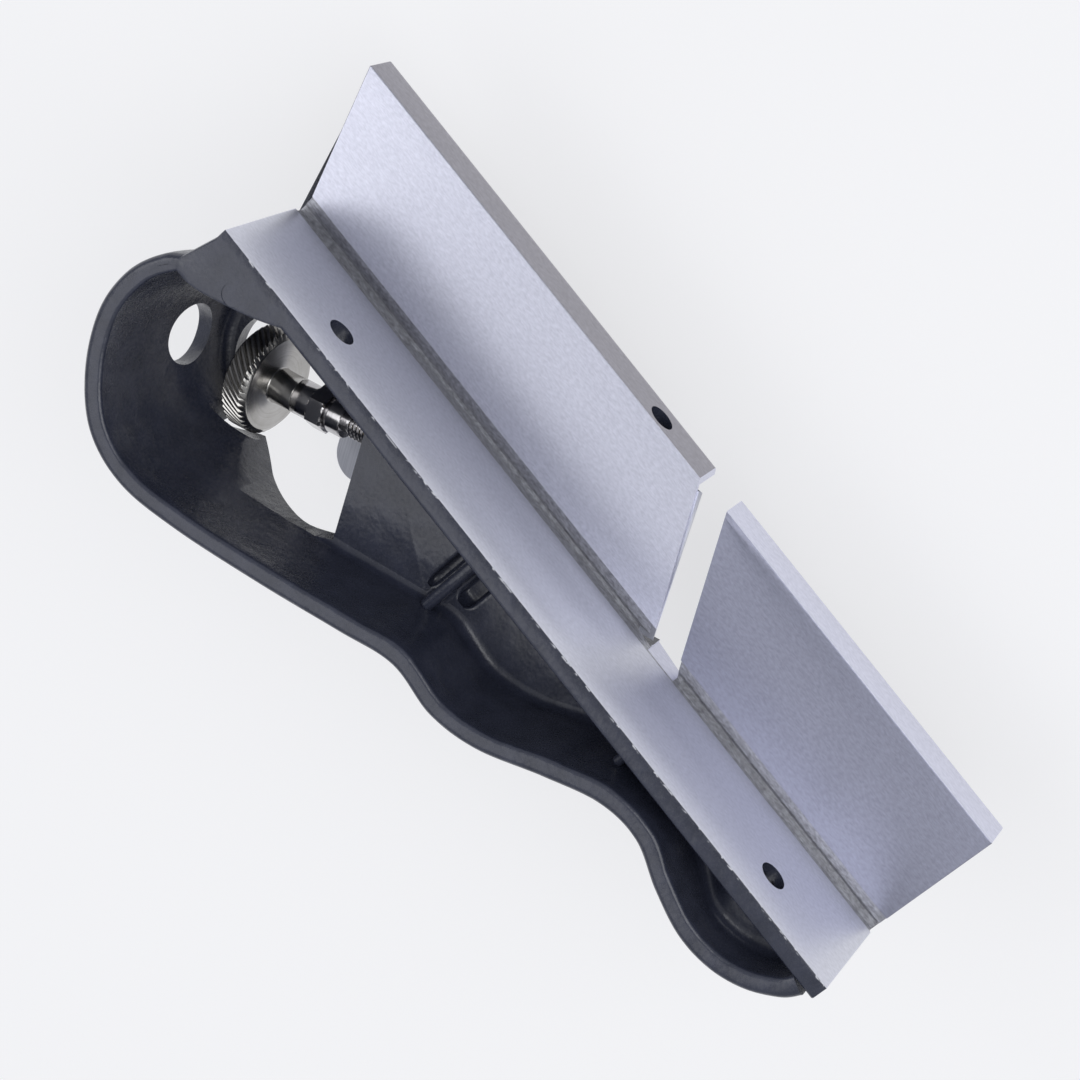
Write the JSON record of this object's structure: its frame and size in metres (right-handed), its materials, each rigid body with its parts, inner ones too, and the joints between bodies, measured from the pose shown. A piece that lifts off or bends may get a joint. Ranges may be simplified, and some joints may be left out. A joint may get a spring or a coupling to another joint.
{
  "type": "edge trimming plane",
  "caption": "Small iron edge trimming plane with a square-set fence and sole, hollow scalloped grip, skewed low-angle blade, lever cap with knob and a screw adjuster.",
  "frame": {"origin": "middle of the lowest plane of the box, the tool lying on its back with the sole up", "axes": "+X along the sole from heel to toe, +Y across the sole away from the fence, +Z out of the sole"},
  "size_m": [0.1618, 0.0697, 0.058],
  "materials": {
    "coated_iron": "dark satin coating, with the sole and the fence's face machined bright",
    "blade_steel": "ground",
    "cap_coating": "dark satin coating",
    "bright_steel": "bright turned",
    "nickel": "nickel plated, knurled",
    "foot_brass": "turned",
    "spring_steel": "oiled",
    "brass": "turned",
    "black_steel": "black oxide"
  },
  "bodies": {
    "casting": {"body_casting": "coated_iron", "lever_cap_screw": "bright_steel"},
    "cap": {"lever_cap": "cap_coating"},
    "foot": {"lever_cap_foot": "foot_brass"},
    "knob": {"lever_cap_knob": "nickel", "lever_cap_stem": "bright_steel"},
    "pivot": {"pivot_barrel": "brass"},
    "feed": {"carriage": "brass", "drive_pin": "bright_steel", "blade": "blade_steel"},
    "wheel": {"adjuster_wheel": "nickel", "adjuster_spindle": "bright_steel", "spindle_clip": "spring_steel"},
    "side_screw": {"side_set_screw": "black_steel"},
    "grip_screw": {"grip_set_screw": "black_steel"}
  },
  "joints": [
    {"name": "lateral_swing", "type": "hinge", "parent": "casting", "child": "pivot", "pos_m": [-0.02736, -0.00312, 0.01842], "axis": [-0.1791, -0.1055, 0.9781], "range_deg": [-1, 1]},
    {"name": "blade_feed", "type": "slide", "parent": "pivot", "child": "feed", "axis": [0.8428, 0.4964, 0.2079], "range_m": [-0.00119, 0.00298]},
    {"name": "wheel_turn", "type": "hinge", "parent": "feed", "child": "wheel", "pos_m": [-0.05459, -0.01916, 0.02183], "axis": [0.8428, 0.4964, 0.2079], "range_deg": [-540, 1350]},
    {"name": "lever_cap_release", "type": "slide", "parent": "casting", "child": "cap", "axis": [-0.8428, -0.4964, -0.2079], "range_m": [0, 0.007]},
    {"name": "foot_travel", "type": "slide", "parent": "cap", "child": "foot", "axis": [-0.1791, -0.1055, 0.9781], "range_m": [-0.00119, 0]},
    {"name": "knob_turn", "type": "hinge", "parent": "foot", "child": "knob", "pos_m": [-0.02358, -0.0009, 0.00402], "axis": [-0.1791, -0.1055, 0.9781], "range_deg": [-540, 0]},
    {"name": "side_screw_out", "type": "slide", "parent": "casting", "child": "side_screw", "axis": [0, 1, 0], "range_m": [0, 0.003]},
    {"name": "grip_screw_out", "type": "slide", "parent": "casting", "child": "grip_screw", "axis": [0, -1, 0], "range_m": [0, 0.003]}
  ],
  "couplings": [
    {"joint": "wheel_turn", "follows": "blade_feed", "rad_per_m": 7913.3},
    {"joint": "foot_travel", "follows": "knob_turn", "m_per_rad": 0.00012637}
  ]
}
